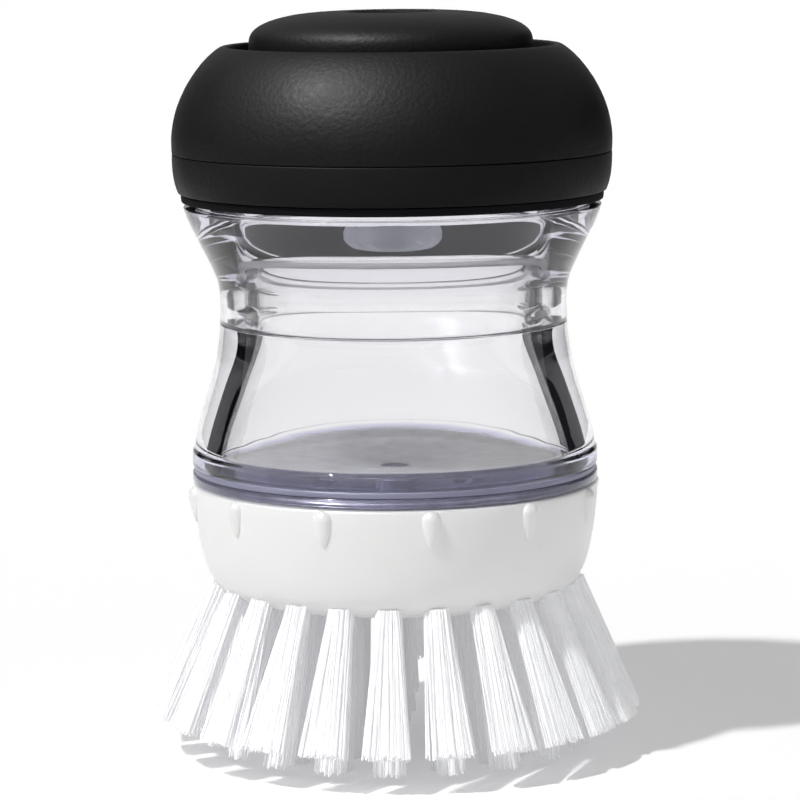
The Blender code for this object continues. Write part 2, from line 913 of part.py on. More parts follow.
def add_tuft(bm, ring, root_radius, angle):
    root_height = block_bottom + strand_root_depth
    outwards = Vector((math.cos(angle), math.sin(angle), 0))
    beside = Vector((-math.sin(angle), math.cos(angle), 0))
    for x_share, y_share in strand_places(ring):
        root = outwards * (root_radius + tuft_root_radius * x_share)
        root += beside * tuft_root_radius * y_share
        root.z = root_height
        tip = outwards * (root_radius + ring["spread"] + ring["tip_across"] * x_share)
        tip += beside * ring["tip_along"] * y_share
        tip.z = ring["tip_height"] - foot_cut
        foot = ring["tip_height"] + tip_rise * ring["rise_share"] * (1 + x_share) / 2
        end = root.lerp(tip, (root_height - foot) / (root_height - tip.z))
        add_strand(bm, root, end, angle)


def slice_section(outer, inner, chamfered):
    section = [(inner, block_bottom), (inner, block_top), (outer, block_top)]
    if chamfered:
        section.append((outer, block_bottom + block_chamfer_height))
        section.append((outer - block_chamfer_width, block_bottom))
    else:
        section.append((outer, block_bottom))
    return section


def make_bristles(parts, cutters):
    """Each ring of tufts, in slices of its backing."""
    strands = 0
    outer = block_radius
    for ring in rings:
        inner = outer - ring["width"]
        middle = (outer + inner) / 2
        tufts = ring["tuft_count"] // ring["slice_count"]
        pitch = math.tau / ring["slice_count"]
        side = gap / 2 / inner
        steps = round(pitch / slice_step)
        for n in range(ring["slice_count"]):
            name = f"bristles_{ring['name']}_{n + 1}"
            first = ring_phase + pitch * n - math.pi / ring["tuft_count"]
            bm = bmesh.new()
            section = slice_section(outer, inner, ring is rings[0])
            spun_section(bm, section, first + side, (pitch - 2 * side) / steps, steps, 0)
            block = from_bmesh(name, bm, "white_nylon", parts)
            bm = bmesh.new()
            for k in range(tufts):
                add_tuft(bm, ring, middle, first + math.tau * (k + 0.5) / ring["tuft_count"])
            join(block, hidden(from_bmesh(name + "_strands", bm, None, cutters)))
            strands += tufts * (ring["around_count"] + ring["core_count"])
        outer = inner - gap
    print(f"bristles: {strands} strands")


def main():
    clear_scene()
    parts = new_collection("soap_palm_brush")
    cutters = new_collection("cutters")
    make_tank_shell(parts, cutters)
    make_tank_base(parts, cutters)
    make_base_gasket(parts)
    make_outlet_valve(parts, cutters)
    make_valve_retainer(parts)
    make_lid_gasket(parts)
    make_clear_collar(parts, cutters)
    make_cap_ring(parts)
    make_grip_band(parts)
    make_palm_grip(parts)
    make_cap_core(parts)
    make_pump_cup(parts, cutters)
    make_check_valve(parts)
    make_bellows(parts)
    make_return_spring(parts)
    make_push_button(parts)
    make_plunger(parts)
    make_brush_head(parts, cutters)
    make_head_seal(parts)
    make_bristles(parts, cutters)


main()
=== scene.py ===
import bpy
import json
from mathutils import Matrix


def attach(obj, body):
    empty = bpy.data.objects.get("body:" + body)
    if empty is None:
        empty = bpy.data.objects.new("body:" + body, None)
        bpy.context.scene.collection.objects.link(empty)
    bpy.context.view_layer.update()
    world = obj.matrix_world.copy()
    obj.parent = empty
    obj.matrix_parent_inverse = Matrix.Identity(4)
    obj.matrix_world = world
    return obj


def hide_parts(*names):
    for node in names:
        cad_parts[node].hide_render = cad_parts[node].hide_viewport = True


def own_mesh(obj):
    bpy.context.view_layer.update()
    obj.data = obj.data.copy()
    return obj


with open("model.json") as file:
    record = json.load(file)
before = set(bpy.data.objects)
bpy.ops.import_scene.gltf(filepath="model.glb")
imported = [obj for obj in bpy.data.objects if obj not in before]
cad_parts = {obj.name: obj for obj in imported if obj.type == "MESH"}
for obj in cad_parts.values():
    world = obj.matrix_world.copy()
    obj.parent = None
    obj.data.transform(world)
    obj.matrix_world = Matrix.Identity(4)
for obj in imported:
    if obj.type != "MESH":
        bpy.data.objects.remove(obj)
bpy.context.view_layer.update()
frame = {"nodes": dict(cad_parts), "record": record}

# Soap-dispensing palm brush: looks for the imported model. The pieces' heights are
# millimetres above the bristle tips, and their radii millimetres from the axis.

import json
import math
import random

import bmesh
import bpy
from mathutils import Matrix, Vector

mm = 0.001
up = (0, 0, 1)
middle = (0, 0, 0)

turning = {
    "steps": 64, "cornerSegments": 2,
    "merge": 0.001,  # points closer than this become one
    "wallTolerance": 0.02,  # how far off a wall's radius a point still belongs to it
}


# small tools for shapes

def onWall(place, wall):
    near = abs(place.x - wall["radius"] * mm) < turning["wallTolerance"] * mm
    return near and wall["low"] * mm < place.z < wall["high"] * mm


def turnProfile(piece):
    # rows of (radius, height, rounding), from the top down the outer side
    bm = bmesh.new()
    rows = piece["profile"]
    points = [bm.verts.new((r * mm, 0, z * mm)) for r, z, _ in rows]
    for pair in zip(points, points[1:]):
        bm.edges.new(pair)
    if rows[0][0] > 0:
        bm.edges.new((points[-1], points[0]))
    for rounding in sorted({row[2] for row in rows if row[2]}):
        corners = [p for p, row in zip(points, rows) if row[2] == rounding]
        bmesh.ops.bevel(
            bm, geom=corners, offset=rounding * mm, offset_type="OFFSET", affect="VERTICES",
            segments=turning["cornerSegments"], profile=0.5, material=-1,
        )
    if "wall" in piece:
        wall = piece["wall"]
        edges = [e for e in bm.edges if all(onWall(v.co, wall) for v in e.verts)]
        bmesh.ops.subdivide_edges(bm, edges=edges, cuts=wall["cuts"])
    bmesh.ops.spin(
        bm, geom=bm.verts[:] + bm.edges[:], axis=up, cent=middle, angle=math.tau,
        steps=piece.get("steps", turning["steps"]), use_merge=True,
    )
    bmesh.ops.remove_doubles(bm, verts=bm.verts, dist=turning["merge"] * mm)
    bmesh.ops.recalc_face_normals(bm, faces=bm.faces)
    return bm


def newMesh(name, bm):
    mesh = bpy.data.meshes.new(name)
    bm.to_mesh(mesh)
    bm.free()
    return mesh


def placeObject(name, data):
    obj = bpy.data.objects.new(name, data)
    bpy.context.scene.collection.objects.link(obj)
    return obj


def finishPiece(name, bm, finish, body, node, subdivisions=0):
    mesh = newMesh(name, bm)
    mesh.shade_smooth()
    mesh.materials.append(finish)
    obj = placeObject(name, mesh)
    if subdivisions:
        subsurf = obj.modifiers.new("smooth", "SUBSURF")
        subsurf.levels = subdivisions
        subsurf.render_levels = subdivisions
    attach(obj, body)
    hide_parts(node)
    return obj


def threadRise(thread, angle, height):
    # how far the screw ridges stand out at a place on the wall
    rise = 0
    for start in range(thread["starts"]):
        first = math.radians(thread["phase"]) + math.tau * start / thread["starts"]
        run = (angle - first) % math.tau
        ends = min(run, math.radians(thread["sweep"]) - run) * thread["wallRadius"]
        for firstHeight in thread["heights"]:
            offset = abs(height - firstHeight - thread["lead"] * run / math.tau)
            flank = (thread["foot"] / 2 - offset) / ((thread["foot"] - thread["crest"]) / 2)
            rise = max(rise, min(1, max(0, flank)) * min(1, max(0, ends / thread["endRun"])))
    return rise * thread["depth"]


def addThread(bm, thread):
    for v in bm.verts:
        radius = math.hypot(v.co.x, v.co.y)
        if abs(radius / mm - thread["wallRadius"]) < turning["wallTolerance"]:
            angle = math.atan2(v.co.y, v.co.x)
            rise = threadRise(thread, angle, v.co.z / mm) * mm
            v.co.xy *= (radius + rise) / radius


# small tools for materials

def newMaterial(name):
    material = bpy.data.materials.new(name)
    material.use_nodes = True
    tree = material.node_tree
    return material, tree, tree.nodes["Principled BSDF"]


def addNode(tree, kind, inputs=(), **settings):
    node = tree.nodes.new(kind)
    for key, value in settings.items():
        setattr(node, key, value)
    for key, value in dict(inputs).items():
        node.inputs[key].default_value = value
    return node


def spanFrom(span):
    return {"From Min": span[0], "From Max": span[1]}


def addBump(tree, height, shader, strength, depth):
    bump = addNode(tree, "ShaderNodeBump", {"Strength": strength, "Distance": depth * mm})
    tree.links.new(height, bump.inputs["Height"])
    tree.links.new(bump.outputs["Normal"], shader.inputs["Normal"])


def newGroup(name, inputs):
    # every group takes a place and gives a colour, a roughness and a height
    group = bpy.data.node_groups.new(name, "ShaderNodeTree")
    for label, kind in {"Position": "Vector", **inputs}.items():
        group.interface.new_socket(name=label, in_out="INPUT", socket_type="NodeSocket" + kind)
    for label, kind in {"Color": "Color", "Roughness": "Float", "Height": "Float"}.items():
        group.interface.new_socket(name=label, in_out="OUTPUT", socket_type="NodeSocket" + kind)
    return group, group.nodes.new("NodeGroupInput"), group.nodes.new("NodeGroupOutput")


mouldedTexture = {
    "flow": {"Detail": 3.0, "Roughness": 0.55}, "grain": {"Detail": 2.0, "Roughness": 0.6},
    "grainGloss": 0.35,  # how much the grain adds to the flow in the gloss
    "glossSpan": (0.3, 0.7), "poreHeight": 0.6,
}


def mouldedSurfaceGroup():
    # grain, pores and slow unevenness of a moulded surface
    group, source, result = newGroup("mouldedSurface", {
        "Grain Scale": "Float", "Flow Scale": "Float", "Dark": "Color", "Light": "Color",
        "Roughness Low": "Float", "Roughness High": "Float",
    })
    link = group.links.new
    flow = addNode(group, "ShaderNodeTexNoise", mouldedTexture["flow"])
    grain = addNode(group, "ShaderNodeTexNoise", mouldedTexture["grain"])
    pores = addNode(group, "ShaderNodeTexVoronoi", feature="F1")
    for texture, scale in ((flow, "Flow Scale"), (grain, "Grain Scale"), (pores, "Grain Scale")):
        link(source.outputs["Position"], texture.inputs["Vector"])
        link(source.outputs[scale], texture.inputs["Scale"])
    tint = addNode(group, "ShaderNodeMix", data_type="RGBA")
    link(flow.outputs["Fac"], tint.inputs["Factor"])
    link(source.outputs["Dark"], tint.inputs["A"])
    link(source.outputs["Light"], tint.inputs["B"])
    gloss = addNode(group, "ShaderNodeMapRange", spanFrom(mouldedTexture["glossSpan"]))
    grainGloss = mouldedTexture["grainGloss"]
    mixed = addNode(group, "ShaderNodeMath", {1: grainGloss}, operation="MULTIPLY_ADD")
    link(grain.outputs["Fac"], mixed.inputs[0])
    link(flow.outputs["Fac"], mixed.inputs[2])
    link(mixed.outputs["Value"], gloss.inputs["Value"])
    link(source.outputs["Roughness Low"], gloss.inputs["To Min"])
    link(source.outputs["Roughness High"], gloss.inputs["To Max"])
    poreHeight = mouldedTexture["poreHeight"]
    height = addNode(group, "ShaderNodeMath", {1: poreHeight}, operation="MULTIPLY_ADD")
    link(pores.outputs["Distance"], height.inputs[0])
    link(grain.outputs["Fac"], height.inputs[2])
    link(tint.outputs["Result"], result.inputs["Color"])
    link(gloss.outputs["Result"], result.inputs["Roughness"])
    link(height.outputs["Value"], result.inputs["Height"])
    return group


mouldedSurface = mouldedSurfaceGroup()


def mouldedMaterial(name, look):
    material, tree, shader = newMaterial(name)
    link = tree.links.new
    place = addNode(tree, "ShaderNodeTexCoord")
    surface = addNode(tree, "ShaderNodeGroup", {
        "Grain Scale": look["grainScale"], "Flow Scale": look["flowScale"],
        "Dark": (*look["dark"], 1), "Light": (*look["light"], 1),
        "Roughness Low": look["roughness"][0], "Roughness High": look["roughness"][1],
    }, node_tree=mouldedSurface)
    link(place.outputs["Object"], surface.inputs["Position"])
    link(surface.outputs["Color"], shader.inputs["Base Color"])
    link(surface.outputs["Roughness"], shader.inputs["Roughness"])
    addBump(tree, surface.outputs["Height"], shader, look["bump"], look["bumpDepth"])
    for key, value in look.get("plain", {}).items():
        shader.inputs[key].default_value = value
    return material


clearTexture = {
    "waves": {"Detail": 1.0}, "clouds": {"Scale": 300.0, "Detail": 3.0, "Roughness": 0.6},
    "cloudSpan": (0.35, 0.6), "frostEdge": 1,
}


def clearSurfaceGroup():
    # a tint that changes with height, slow waves, clouds and a frosted middle
    group, source, result = newGroup("clearSurface", {
        "Low": "Color", "High": "Color", "Tint Bottom": "Float", "Tint Top": "Float",
        "Wave Scale": "Float", "Frost Radius": "Float", "Frost Roughness": "Float",
        "Clear Roughness": "Float", "Mottle": "Float",
    })
    link = group.links.new
    split = addNode(group, "ShaderNodeSeparateXYZ")
    link(source.outputs["Position"], split.inputs["Vector"])
    ramp = addNode(group, "ShaderNodeMapRange")
    link(split.outputs["Z"], ramp.inputs["Value"])
    link(source.outputs["Tint Bottom"], ramp.inputs["From Min"])
    link(source.outputs["Tint Top"], ramp.inputs["From Max"])
    tint = addNode(group, "ShaderNodeMix", data_type="RGBA")
    link(ramp.outputs["Result"], tint.inputs["Factor"])
    link(source.outputs["Low"], tint.inputs["A"])
    link(source.outputs["High"], tint.inputs["B"])
    waves = addNode(group, "ShaderNodeTexNoise", clearTexture["waves"])
    link(source.outputs["Position"], waves.inputs["Vector"])
    link(source.outputs["Wave Scale"], waves.inputs["Scale"])
    flat = addNode(group, "ShaderNodeVectorMath", {1: (1, 1, 0)}, operation="MULTIPLY")
    link(source.outputs["Position"], flat.inputs[0])
    reach = addNode(group, "ShaderNodeVectorMath", operation="LENGTH")
    link(flat.outputs["Vector"], reach.inputs[0])
    edge = addNode(group, "ShaderNodeMath", {1: clearTexture["frostEdge"] * mm}, operation="ADD")
    link(source.outputs["Frost Radius"], edge.inputs[0])
    frost = addNode(group, "ShaderNodeMapRange")
    link(reach.outputs["Value"], frost.inputs["Value"])
    link(source.outputs["Frost Radius"], frost.inputs["From Min"])
    link(edge.outputs["Value"], frost.inputs["From Max"])
    link(source.outputs["Frost Roughness"], frost.inputs["To Min"])
    link(source.outputs["Clear Roughness"], frost.inputs["To Max"])
    clouds = addNode(group, "ShaderNodeTexNoise", clearTexture["clouds"])
    link(source.outputs["Position"], clouds.inputs["Vector"])
    shade = addNode(group, "ShaderNodeMapRange", spanFrom(clearTexture["cloudSpan"]))
    link(clouds.outputs["Fac"], shade.inputs["Value"])
    link(source.outputs["Mottle"], shade.inputs["To Min"])
    mottled = addNode(group, "ShaderNodeVectorMath", operation="SCALE")
    link(tint.outputs["Result"], mottled.inputs[0])
    link(shade.outputs["Result"], mottled.inputs["Scale"])
    link(mottled.outputs["Vector"], result.inputs["Color"])
    link(frost.outputs["Result"], result.inputs["Roughness"])
    link(waves.outputs["Fac"], result.inputs["Height"])
    return group


clearSurface = clearSurfaceGroup()


def clearMaterial(name, look):
    # moulded clear plastic: tinted in its depth, and open to the lamps
    material, tree, shader = newMaterial(name)
    link = tree.links.new
    place = addNode(tree, "ShaderNodeTexCoord")
    surface = addNode(tree, "ShaderNodeGroup", {
        "Low": (*look["lowColour"], 1), "High": (*look["highColour"], 1),
        "Tint Bottom": look["tintHeights"][0] * mm, "Tint Top": look["tintHeights"][1] * mm,
        "Wave Scale": look["waveScale"], "Frost Radius": look["frostRadius"] * mm,
        "Frost Roughness": look["frostRoughness"], "Clear Roughness": look["roughness"],
        "Mottle": look["mottle"],
    }, node_tree=clearSurface)
    link(place.outputs["Object"], surface.inputs["Position"])
    link(surface.outputs["Color"], shader.inputs["Base Color"])
    link(surface.outputs["Roughness"], shader.inputs["Roughness"])
    addBump(tree, surface.outputs["Height"], shader, look["bump"], look["bumpDepth"])
    shader.inputs["IOR"].default_value = look["ior"]
    shader.inputs["Transmission Weight"].default_value = look["clearness"]
    depth = addNode(tree, "ShaderNodeVolumeAbsorption", {
        "Color": (*look["depthColour"], 1), "Density": look["depthDensity"],
    })
    rays = addNode(tree, "ShaderNodeLightPath")
    either = addNode(tree, "ShaderNodeMath", operation="MAXIMUM")
    link(rays.outputs["Is Shadow Ray"], either.inputs[0])
    link(rays.outputs["Is Diffuse Ray"], either.inputs[1])
    passing = addNode(tree, "ShaderNodeBsdfTransparent", {"Color": (*look["shadeColour"], 1)})
    mix = addNode(tree, "ShaderNodeMixShader")
    result = tree.nodes["Material Output"]
    link(either.outputs["Value"], mix.inputs["Fac"])
    link(shader.outputs["BSDF"], mix.inputs[1])
    link(passing.outputs["BSDF"], mix.inputs[2])
    link(mix.outputs["Shader"], result.inputs["Surface"])
    link(depth.outputs["Volume"], result.inputs["Volume"])
    return material


rubberLook = {
    "dark": (0.002, 0.002, 0.0021), "light": (0.004, 0.004, 0.0043), "roughness": (0.44, 0.56),
    "grainScale": 1500, "flowScale": 90, "bump": 0.5, "bumpDepth": 0.08,
    "plain": {"Specular IOR Level": 0.11},
}
blackPlasticLook = {
    "dark": (0.008, 0.008, 0.009), "light": (0.013, 0.013, 0.014), "roughness": (0.22, 0.32),
    "grainScale": 1800, "flowScale": 60, "bump": 0.1, "bumpDepth": 0.02,
    "plain": {"Specular IOR Level": 0.2},
}
mattPlasticLook = {
    "dark": (0.004, 0.004, 0.005), "light": (0.009, 0.009, 0.011), "roughness": (0.55, 0.7),
    "grainScale": 1800, "flowScale": 60, "bump": 0.1, "bumpDepth": 0.02,
    "plain": {"Specular IOR Level": 0.03},
}
whitePlasticLook = {
    "dark": (0.88, 0.88, 0.875), "light": (0.92, 0.92, 0.915), "roughness": (0.24, 0.34),
    "grainScale": 1400, "flowScale": 45, "bump": 0.08, "bumpDepth": 0.03,
}
siliconeLook = {
    "dark": (0.82, 0.85, 0.93), "light": (0.90, 0.92, 0.98), "roughness": (0.42, 0.52),
    "grainScale": 1500, "flowScale": 80, "bump": 0.15, "bumpDepth": 0.02,
    "plain": {"Transmission Weight": 0.2},
}
paleLook = {
    "dark": (0.93, 0.93, 0.94), "light": (0.97, 0.97, 0.975), "roughness": (0.42, 0.52),
    "grainScale": 1500, "flowScale": 80, "bump": 0.1, "bumpDepth": 0.02,
    "plain": {"Transmission Weight": 0.75},
}
valveLook = {
    **paleLook, "dark": (0.82, 0.85, 0.93), "light": (0.90, 0.92, 0.98),
    "plain": {"Transmission Weight": 0.6},
}
gasketLook = {
    "dark": (0.22, 0.22, 0.32), "light": (0.34, 0.34, 0.46), "roughness": (0.3, 0.4),
    "grainScale": 1500, "flowScale": 80, "bump": 0.1, "bumpDepth": 0.02,
    "plain": {"Transmission Weight": 0.2},
}
steelLook = {
    "dark": (0.50, 0.50, 0.52), "light": (0.62, 0.62, 0.64), "roughness": (0.22, 0.34),
    "grainScale": 4000, "flowScale": 300, "bump": 0.2, "bumpDepth": 0.01,
    "plain": {"Metallic": 1.0},
}
clearLook = {
    "lowColour": (0.60, 0.60, 0.76), "highColour": (0.985, 0.985, 0.985), "tintHeights": (43.0, 43.6),
    "depthColour": (0.55, 0.54, 0.66), "depthDensity": 20, "shadeColour": (0.95, 0.95, 0.955),
    "clearness": 1.0, "roughness": 0.01, "ior": 1.49, "waveScale": 70, "bump": 0.10, "bumpDepth": 0.10,
    "frostRadius": 0, "frostRoughness": 0.01, "mottle": 1.0,
}
collarLook = {
    **clearLook, "lowColour": (0.995, 0.995, 0.995), "highColour": (0.995, 0.995, 0.995),
    "depthColour": (0.42, 0.40, 0.58), "depthDensity": 34,
}
tintedLook = {
    "lowColour": (0.48, 0.48, 0.64), "highColour": (0.99, 0.97, 0.95), "tintHeights": (40.4, 43.0),
    "depthColour": (0.50, 0.50, 0.56), "depthDensity": 40, "shadeColour": (0.85, 0.85, 0.87),
    "clearness": 0.82, "roughness": 0.02, "ior": 1.49, "waveScale": 60, "bump": 0.10, "bumpDepth": 0.10,
    "frostRadius": 23.0, "frostRoughness": 0.30, "mottle": 0.70,
}

rubber = mouldedMaterial("blackRubber", rubberLook)
blackPlastic = mouldedMaterial("blackPlastic", blackPlasticLook)
mattPlastic = mouldedMaterial("mattBlackPlastic", mattPlasticLook)
whitePlastic = mouldedMaterial("whitePlastic", whitePlasticLook)
silicone = mouldedMaterial("siliconeRubber", siliconeLook)
greySilicone = mouldedMaterial("greySilicone", gasketLook)
paleSilicone = mouldedMaterial("paleSilicone", paleLook)
valveSilicone = mouldedMaterial("valveSilicone", valveLook)
steel = mouldedMaterial("springSteel", steelLook)
clearPlastic = clearMaterial("clearPlastic", clearLook)
collarPlastic = clearMaterial("collarPlastic", collarLook)
tintedPlastic = clearMaterial("tintedPlastic", tintedLook)
print("materials made")


# cap: grip, band, ring and button

palmGrip = {
    "profile": [
        (23.45, 101.45, 0.3), (24.3, 101.55, 0), (25.4, 100.75, 0), (26.8, 99.5, 0), (28.4, 97.5, 0),
        (29.8, 95.2, 0), (30.95, 92.5, 0), (31.5, 89.8, 0), (31.62, 88.2, 0), (31.55, 86.45, 0.08),
        (28.65, 86.45, 0.2), (28.55, 91.2, 0), (27.35, 95.0, 0), (25.2, 97.6, 0), (23.2, 99.05, 0.2),
    ],
}
gripBand = {
    "profile": [
        (31.53, 86.33, 0.08), (31.56, 85.6, 0), (31.53, 84.7, 0), (31.45, 83.4, 0), (31.2, 82.0, 0),
        (30.75, 80.75, 0.15), (28.65, 80.75, 0.2), (28.65, 86.3, 0.2),
    ],
}
capRing = {
    "profile": [(30.4, 80.65, 0.08), (30.3, 79.5, 0.12), (28.65, 79.55, 0.1), (28.65, 80.65, 0.1)],
}
pushButton = {
    "profile": [
        (0, 105.7, 0), (3.0, 105.7, 0), (6.05, 105.72, 0.25), (6.6, 106.2, 0.15), (7.6, 106.25, 0),
        (9.6, 106.2, 0), (12.9, 105.98, 0), (15.6, 105.5, 0), (17.8, 104.85, 0), (19.4, 104.0, 0),
        (20.2, 103.0, 0), (20.35, 101.9, 0), (20.3, 100.6, 0), (20.3, 93.45, 0.3), (18.7, 93.45, 0.3),
        (18.7, 100.05, 0.5), (14.2, 103.05, 0.5), (0, 103.05, 0),
    ],
}

finishPiece("palmGrip", turnProfile(palmGrip), rubber, "lid", "palm_grip", 2)
finishPiece("gripBand", turnProfile(gripBand), rubber, "lid", "grip_band", 1)
finishPiece("capRing", turnProfile(capRing), mattPlastic, "lid", "cap_ring", 1)
finishPiece("pushButton", turnProfile(pushButton), rubber, "button", "push_button", 2)
print("cap made")


# clear collar and tank, with their screw threads

clearCollar = {
    "steps": 96,
    "wall": {"low": 62.3, "high": 80.1, "radius": 23.0, "cuts": 53},
    "profile": [
        (28.4, 83.4, 0.3), (28.4, 78.8, 0.2), (30.1, 78.8, 0.25), (29.3, 76.5, 0), (27.9, 73.8, 0),
        (26.45, 70.9, 0), (25.4, 68.6, 0), (25.0, 66.8, 0), (24.98, 64.8, 0), (25.0, 62.1, 0.06),
        (23.0, 62.1, 0.06), (23.0, 80.2, 0.3), (26.3, 80.2, 0.3), (26.3, 83.4, 0.3),
    ],
    "thread": {
        "wallRadius": 23.0, "depth": -1.2, "starts": 2, "phase": -28.1, "sweep": 45, "lead": 6.0,
        "heights": [67.75], "foot": 1.2, "crest": 0.7, "endRun": 1.5,
    },
}
tankShell = {
    "steps": 96,
    "wall": {"low": 62.0, "high": 74.6, "radius": 21.4, "cuts": 39},
    "profile": [
        (21.4, 74.95, 0.8), (21.4, 61.95, 0.06), (25.0, 61.95, 0.06),
        (25.25, 59.1, 0), (25.7, 56.2, 0), (26.45, 53.35, 0), (27.4, 50.5, 0), (28.35, 47.5, 0),
        (28.8, 45.3, 0), (28.95, 44.05, 0.2), (29.3, 43.7, 0.25), (29.3, 41.45, 0.25),
        (25.1, 41.45, 0.2), (25.1, 43.9, 0), (23.95, 47.35, 0), (22.6, 51.1, 0), (21.4, 54.9, 0),
        (20.45, 57.9, 0), (19.95, 59.75, 0), (19.7, 60.8, 0), (19.6, 61.6, 0), (19.6, 62.6, 0),
        (19.6, 66.0, 0), (19.6, 74.95, 0.8),
    ],
    "thread": {
        "wallRadius": 21.4, "depth": 1.2, "starts": 2, "phase": -28.1, "sweep": 45, "lead": 6.0,
        "heights": [63.25, 69.25], "foot": 1.2, "crest": 0.7, "endRun": 1.5,
    },
}
tankBase = {
    "steps": 96,
    "wall": {"low": 32.4, "high": 39.1, "radius": 24.9, "cuts": 15},
    "profile": [
        (24.85, 43.15, 0.3), (24.85, 40.55, 0.2), (29.3, 40.55, 0.25), (29.3, 39.15, 0.25),
        (24.9, 39.15, 0.2), (24.9, 32.35, 0.3), (23.3, 32.35, 0.3), (23.3, 39.35, 0.3),
        (9.6, 39.35, 0.3), (9.6, 35.35, 0.3), (7.4, 35.35, 0.3), (7.4, 39.35, 0.2),
        (1.9, 39.35, 0.2), (1.9, 41.55, 0.3),
    ],
    "thread": {
        "wallRadius": 24.9, "depth": 1.4, "starts": 4, "phase": 5.6, "sweep": 33.75, "lead": 20.0,
        "heights": [33.65], "foot": 1.6, "crest": 1.2, "endRun": 1.0,
    },
}

for name, piece, finish, body, slotName, node in (
    ("clearCollar", clearCollar, collarPlastic, "lid", "clear_plastic", "clear_collar"),
    ("tankShell", tankShell, clearPlastic, "tank", "clear_plastic", "tank_shell"),
    ("tankBase", tankBase, tintedPlastic, "tank", "clear_tinted", "tank_base"),
):
    bm = turnProfile(piece)
    addThread(bm, piece["thread"])
    finishPiece(name, bm, finish, body, node, 1)
print("clear body made")


# what shows through the clear body

pumpCup = {
    "profile": [
        (26.05, 82.05, 0.3), (26.05, 80.45, 0.3), (1.6, 80.45, 0.1), (1.6, 82.05, 0.1),
        (13.0, 82.05, 0.3), (13.0, 86.2, 0.2), (14.6, 86.2, 0.2), (14.6, 82.05, 0.3),
    ],
}
checkValve = {
    "profile": [
        (0, 83.5, 0), (1.35, 83.5, 0.2), (2.4, 82.3, 0.1), (1.35, 82.3, 0), (1.35, 80.2, 0),
        (7.4, 80.2, 0.1), (7.4, 79.9, 0.1), (6.4, 79.0, 0), (5.4, 79.75, 0), (4.2, 78.7, 0),
        (3.0, 79.65, 0), (1.8, 78.6, 0), (0, 78.5, 0),
    ],
}
lidGasket = {
    "profile": [(22.75, 73.55, 0.25), (22.75, 72.65, 0.25), (21.65, 72.65, 0.25), (21.65, 73.55, 0.25)],
}
baseGasket = {
    "profile": [(29.12, 41.38, 0.1), (29.12, 40.62, 0.1), (25.1, 40.62, 0.1), (25.1, 41.38, 0.1)],
}

finishPiece("pumpCup", turnProfile(pumpCup), mattPlastic, "lid", "pump_cup", 1)
finishPiece("checkValve", turnProfile(checkValve), valveSilicone, "lid", "check_valve", 1)
finishPiece(
    "lidGasket", turnProfile(lidGasket), paleSilicone, "lid_gasket", "lid_gasket", 1,
)
finishPiece("baseGasket", turnProfile(baseGasket), greySilicone, "tank", "base_gasket", 1)


# bellows and spring under the button

pumpBellows = {
    "profile": [
        (0, 89.2, 0), (9.0, 89.2, 0.3), (11.6, 87.68, 0.3), (8.6, 85.89, 0.3), (11.5, 84.1, 0.3),
        (11.6, 83.2, 0), (12.4, 83.2, 0.2), (12.4, 82.3, 0.2), (10.9, 82.3, 0.1), (10.65, 83.7, 0.3),
        (7.7, 85.89, 0.3), (10.7, 87.6, 0.3), (8.74, 88.34, 0.2), (0, 88.3, 0),
    ],
    "bottom": 82.3, "keep": 0.34,
}
returnSpring = {
    "radius": 11.0, "wire": 0.5, "bottom": 93.57, "top": 102.78, "turns": 3, "sides": 10,
    "steps": 96, "keep": 0.5,
}


def coilSpring(piece):
    bm = bmesh.new()
    place = Matrix.Translation((piece["radius"] * mm, 0, (piece["bottom"] + piece["wire"]) * mm))
    bmesh.ops.create_circle(
        bm, segments=piece["sides"], radius=piece["wire"] * mm,
        matrix=place @ Matrix.Rotation(math.radians(90), 4, "X"),
    )
    rise = (piece["top"] - piece["bottom"] - 2 * piece["wire"]) * mm
    bmesh.ops.spin(
        bm, geom=bm.verts[:] + bm.edges[:], axis=up, cent=middle, dvec=(0, 0, rise / piece["steps"]),
        angle=math.tau * piece["turns"], steps=piece["steps"],
    )
    bmesh.ops.holes_fill(bm, edges=[e for e in bm.edges if e.is_boundary])
    bmesh.ops.recalc_face_normals(bm, faces=bm.faces)
    return bm


bellows = finishPiece(
    "pumpBellows", turnProfile(pumpBellows), silicone, "lid", "pump_bellows",
)
spring = finishPiece(
    "returnSpring", coilSpring(returnSpring), steel, "lid", "return_spring",
)
for obj, piece in ((bellows, pumpBellows), (spring, returnSpring)):
    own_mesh(obj)
print("inner pieces made")


# brush head with its ribs

brushHead = {
    "steps": 96,
    "profile": [
        (29.3, 38.9, 0.35), (29.3, 37.4, 0), (29.12, 35.3, 0), (28.85, 32.95, 0), (28.45, 30.6, 0),
        (27.95, 28.3, 0), (27.3, 26.2, 0), (26.3, 24.4, 0), (24.9, 23.2, 0), (23.2, 22.75, 0),
        (21.0, 22.7, 0), (5.5, 22.7, 0.4), (5.5, 32.75, 0.3), (10.0, 32.75, 0.3), (10.0, 29.35, 0.5),
        (26.7, 29.35, 0.6), (26.7, 38.9, 0.3),
    ],
}
rib = {
    "count": 12, "phase": -80.3, "radius": 29.0, "top": 38.85, "length": 5.3, "width": 2.8,
    "stand": 1.2, "segments": 20, "rings": 14,
    "draw": 1.6,  # above 1 the tail is drawn out
    "thinning": 0.25,  # how much flatter the tail's end is
}


